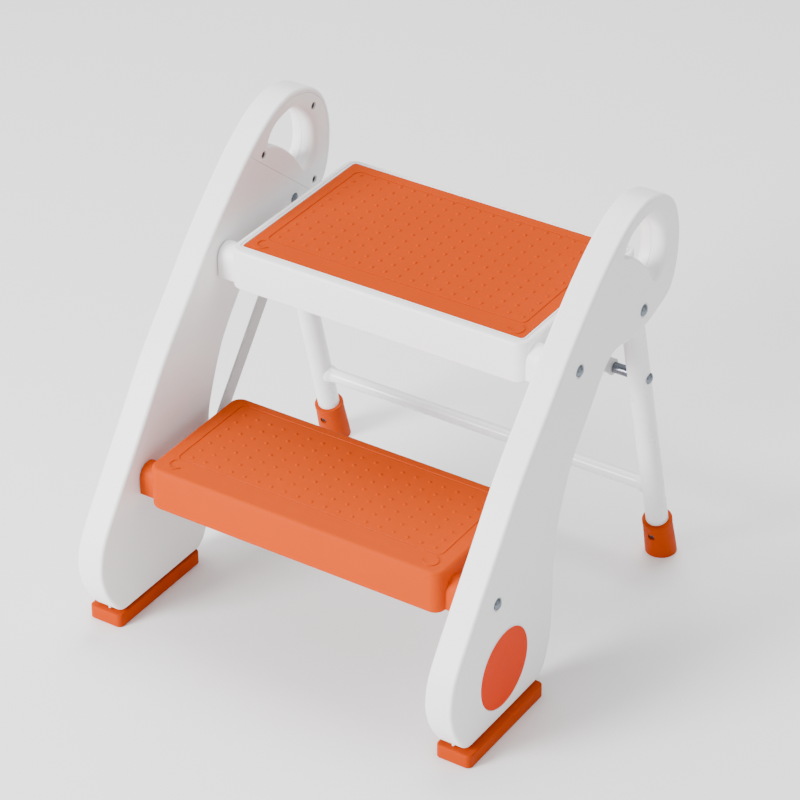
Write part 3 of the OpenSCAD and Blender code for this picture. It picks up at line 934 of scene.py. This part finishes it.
def cap_screw_frame(out):
    """Place of the right-hand foot cap's screw: Z points out of the tube, out from its axis."""
    return leg_frame()[0] @ Matrix.Translation((0, 0, CAP_SCREW_UP)) \
        @ Matrix.Rotation(math.pi/2, 4, "X") @ Matrix.Translation((0, 0, out))


class StoolLegs(bpy.types.Operator):
    """The two white tubular legs and the crossbar welded between them."""
    bl_idname = "stool.legs"
    bl_label = "Legs and crossbar"

    def execute(self, context):
        place, length = leg_frame()
        inner, low, top = 0.011, 0.016, length + 0.009
        tube = [(inner, low), (TUBE_R - 0.0003, low), (TUBE_R, low + 0.0003),
                (TUBE_R, top - 0.0004), (TUBE_R - 0.0004, top), (inner, top), (inner, low)]
        for name, side in SIDES:
            bm = bmesh.new()
            lathe(bm, tube, place, 72)
            new_piece(f"leg_tube_{name}", bm, powder_coat(), "rear_legs", (f"{name}_leg_tube",),
                      mirrored=side < 0)
        _, cy, cz = middle("crossbar")
        bm = bmesh.new()
        r, reach = 0.008, place.translation.x - TUBE_R
        half = [(r, 0.0), (r, reach - 0.007), (r + 0.0003, reach - 0.0045),
                (r + 0.0011, reach - 0.002), (r + 0.0022, reach - 0.0002),
                (r + 0.0026, reach + 0.002), (r + 0.0018, reach + 0.004), (0, reach + 0.004)]
        for side in (-1, 1):
            lathe(bm, half, along_x(0, cy, cz, side), 56)
        new_piece("crossbar_welded", bm, powder_coat(), "rear_legs", ("crossbar",))
        return {"FINISHED"}


class StoolFeet(bpy.types.Operator):
    """The orange foot caps: flared, cut level with the floor, with a lip at the top."""
    bl_idname = "stool.feet"
    bl_label = "Foot caps"

    def execute(self, context):
        place, _ = leg_frame()
        lip = 0.050/math.cos(LEAN)
        r = 0.0161
        profile = [(0, -0.012), (0.0176, -0.012), (0.0176, 0.008), (r + 0.0004, lip - 0.0085),
                   (r + 0.0001, lip - 0.0078), (r + 0.0001, lip - 0.0072),
                   (r + 0.0006, lip - 0.0066), (r + 0.0007, lip - 0.006),
                   (r + 0.0007, lip - 0.0012), (r + 0.0003, lip - 0.0003), (r - 0.0006, lip),
                   (TUBE_R + 0.0001, lip), (TUBE_R + 0.0001, 0.016), (0, 0.016)]
        bm = bmesh.new()
        lathe(bm, profile, place, 80)
        low = bmesh.ops.bisect_plane(bm, geom=bm.verts[:] + bm.edges[:] + bm.faces[:],
                                     plane_co=(0, 0, 0), plane_no=(0, 0, -1), clear_outer=True)
        rim = [e for e in low["geom_cut"] if isinstance(e, bmesh.types.BMEdge)]
        bmesh.ops.triangle_fill(bm, use_beauty=True, edges=rim)
        cap = mesh_of(bm, "cap")
        turn = cap_screw_frame(0.0)
        bm = bmesh.new()
        lathe(bm, [(0, 0.0137), (0.0042, 0.0137), (0.0042, 0.0162), (0.0056, 0.022), (0, 0.022)],
              turn, 40)
        cut(cap, mesh_of(bm, "screw seat"))
        for name, side in SIDES:
            bm = bmesh.new()
            bm.from_mesh(cap.data)
            new_piece(f"foot_cap_{name}", bm, pad_rubber(), "rear_legs", (f"{name}_foot_cap",),
                      mirrored=side < 0)
        bpy.data.objects.remove(cap, do_unlink=True)
        return {"FINISHED"}


# ---- fasteners ----------------------------------------------------------------------

def cross_head(radius, height, recess):
    """A screw head with a cross recess, standing on its own Z."""
    bm = bmesh.new()
    lathe(bm, dome_profile(radius, height, 6, lip=height), Matrix.Identity(4), 36)
    head = mesh_of(bm, "head")
    for turn in (0, 1):
        bm = bmesh.new()
        arm, blade = radius*0.62, radius*0.17
        a, b = (arm, blade) if turn else (blade, arm)
        box(bm, (-a, -b, height - recess), (a, b, height + 0.002))
        cut(head, mesh_of(bm, "blade"))
    return head


def place_heads(bm, head, matrices):
    """Copies of a screw head, one for each matrix."""
    for matrix in matrices:
        before = len(bm.verts)
        bm.from_mesh(head.data)
        bm.verts.ensure_lookup_table()
        bmesh.ops.transform(bm, matrix=matrix, verts=bm.verts[before:])


class StoolScrews(bpy.types.Operator):
    """The small cross-head screws of the covers and the foot caps."""
    bl_idname = "stool.screws"
    bl_label = "Screws"

    def execute(self, context):
        x_in, _ = x_planes()
        head = cross_head(0.0033, 0.0008, 0.0012)
        for name, side in SIDES:
            bm = bmesh.new()
            wide = Matrix.Diagonal((1.18, 1.18, 1.0, 1.0))
            place_heads(bm, head, [along_x(x_in + 0.0021, y, z, -1) @ wide
                                   for y, z in screw_places()])
            for y, z in screw_places():
                lathe(bm, [(0, 0), (0.0016, 0), (0.0016, 0.017), (0, 0.0185)],
                      along_x(x_in + 0.003, y, z, 1), 20)
            new_piece(f"cover_screws_{name}", bm, dark_zinc(), "side_frame",
                      (f"{name}_cover_screws",), mirrored=side < 0)
        turn = cap_screw_frame(0.0146)
        bm = bmesh.new()
        place_heads(bm, head, [turn, Matrix.Diagonal((-1, 1, 1, 1)) @ turn])
        new_piece("foot_cap_screw_heads", bm, dark_zinc(), "rear_legs", ("foot_cap_screws",))
        bpy.data.objects.remove(head, do_unlink=True)
        return {"FINISHED"}


class StoolAxles(bpy.types.Operator):
    """The through axles and leg pivots with their domed plated heads."""
    bl_idname = "stool.axles"
    bl_label = "Axles and pivots"

    def execute(self, context):
        x_in, x_out = x_planes()
        for node in ("lower_axle", "upper_axle"):
            _, y, z = middle(node)
            bm = bmesh.new()
            for side in (-1, 1):
                lathe(bm, dome_profile(HEAD_R, HEAD_H, 10, lip=0.001),
                      along_x(side*x_out, y, z, side))
                lathe(bm, [(AXLE_R, 0), (AXLE_R, x_out)], along_x(0, y, z, side), 32)
            new_piece(f"{node}_turned", bm, zinc(), "side_frame", (node,))
        _, y, z = middle("right_leg_pivot")
        for name, side in SIDES:
            bm = bmesh.new()
            lathe(bm, dome_profile(HEAD_R, HEAD_H, 10, lip=0.001), along_x(x_out, y, z, 1))
            lathe(bm, dome_profile(HEAD_R, HEAD_H, 10), along_x(x_in, y, z, -1))
            lathe(bm, [(AXLE_R, 0), (AXLE_R, x_out - x_in)], along_x(x_in, y, z, 1), 32)
            new_piece(f"leg_pivot_{name}", bm, zinc(), "side_frame", (f"{name}_leg_pivot",),
                      mirrored=side < 0)
        return {"FINISHED"}


class StoolFrameFinishes(bpy.types.Operator):
    """Finishes for the CAD pieces that are shown as they are: bars, rivets, washers and plugs."""
    bl_idname = "stool.frame_finishes"
    bl_label = "Shown CAD pieces"

    def execute(self, context):
        chosen = {
            "left_link": bar_coat, "right_link": bar_coat, "left_stay": bar_coat,
            "right_stay": bar_coat, "lower_link_rivets": zinc, "upper_link_rivets": zinc,
            "stay_rivets": zinc, "left_stay_pin": zinc, "right_stay_pin": zinc,
            "axle_washers": grey_nylon, "leg_end_plugs": grey_nylon, "sole_pad_screws": dark_zinc,
        }
        for node, material in chosen.items():
            obj = frame["nodes"][node]
            obj.data.materials.clear()
            obj.data.materials.append(material())
            soft = obj.modifiers.new("eased edges", "BEVEL")
            soft.width = 0.0003
            soft.segments = 2
            soft.limit_method = "ANGLE"
            soft.angle_limit = math.radians(50)
        return {"FINISHED"}


# ---- stage ------------------------------------------------------------------------------

def soft_light(name, place, aim, size, watts):
    """A round soft light that points at aim."""
    data = bpy.data.lights.new(name, "AREA")
    data.shape = "DISK"
    data.size = size
    data.energy = watts
    obj = bpy.data.objects.new(name, data)
    obj.location = place
    obj.rotation_euler = (Vector(aim) - Vector(place)).to_track_quat("-Z", "Y").to_euler()
    bpy.context.collection.objects.link(obj)


class StoolStage(bpy.types.Operator):
    """The pale floor, the soft studio light and the camera."""
    bl_idname = "stool.stage"
    bl_label = "Stage"

    def execute(self, context):
        bm = bmesh.new()
        box(bm, (-6, -6, -0.02), (6, 6, -0.0002))
        floor = new_piece("studio_floor", bm, studio_paper(), None)
        world = bpy.data.worlds.new("studio")
        world.use_nodes = True
        tree = world.node_tree
        tree.nodes.clear()
        sky = add_node(tree, "ShaderNodeBackground", {"Color": linear("#FFFFFF"), "Strength": 0.8})
        out = add_node(tree, "ShaderNodeOutputWorld")
        tree.links.new(sky.outputs["Background"], out.inputs["Surface"])
        context.scene.world = world
        middle_of = (0.0, 0.0, 0.25)
        soft_light("key, front left", (-1.5, -3.0, 1.5), middle_of, 1.5, 270)
        soft_light("fill, right", (2.8, 0.2, 1.0), middle_of, 2.2, 8)
        soft_light("top", (-0.5, 0.8, 3.0), middle_of, 2.0, 85)
        data = bpy.data.cameras.new("camera")
        data.sensor_width = 36.0
        data.lens = 146.3
        camera = bpy.data.objects.new("camera", data)
        away = Vector((0.4534, -0.7065, 0.5433)).normalized()
        camera.location = (1.5605, -2.4057, 2.0984)
        camera.rotation_euler = (-away).to_track_quat("-Z", "Y").to_euler()
        bpy.context.collection.objects.link(camera)
        context.scene.camera = camera
        return {"FINISHED"}


class StoolSidebar(bpy.types.Panel):
    """Sidebar list of everything that can be built."""
    bl_idname = "STOOL_PT_sidebar"
    bl_label = "Step stool"
    bl_space_type = "VIEW_3D"
    bl_region_type = "UI"
    bl_category = "Step stool"

    def draw(self, context):
        for operator in OPERATORS:
            self.layout.operator(operator.bl_idname)


OPERATORS = (StoolPanels, StoolCovers, StoolBadges, StoolPads, StoolLowerStep, StoolUpperTray,
             StoolMat, StoolLegs, StoolFeet, StoolScrews, StoolAxles, StoolFrameFinishes,
             StoolStage)
CLASSES = (StoolLooks, *OPERATORS, StoolSidebar)


def register():
    for cls in CLASSES:
        bpy.utils.register_class(cls)
    bpy.types.Scene.stool_looks = bpy.props.PointerProperty(type=StoolLooks)


def unregister():
    del bpy.types.Scene.stool_looks
    for cls in reversed(CLASSES):
        bpy.utils.unregister_class(cls)


def main():
    register()
    bpy.ops.stool.panels()
    bpy.ops.stool.covers()
    bpy.ops.stool.badges()
    bpy.ops.stool.pads()
    bpy.ops.stool.lower_step()
    bpy.ops.stool.upper_tray()
    bpy.ops.stool.mat()
    bpy.ops.stool.legs()
    bpy.ops.stool.feet()
    bpy.ops.stool.screws()
    bpy.ops.stool.axles()
    bpy.ops.stool.frame_finishes()
    bpy.ops.stool.stage()


if __name__ == "__main__":
    main()
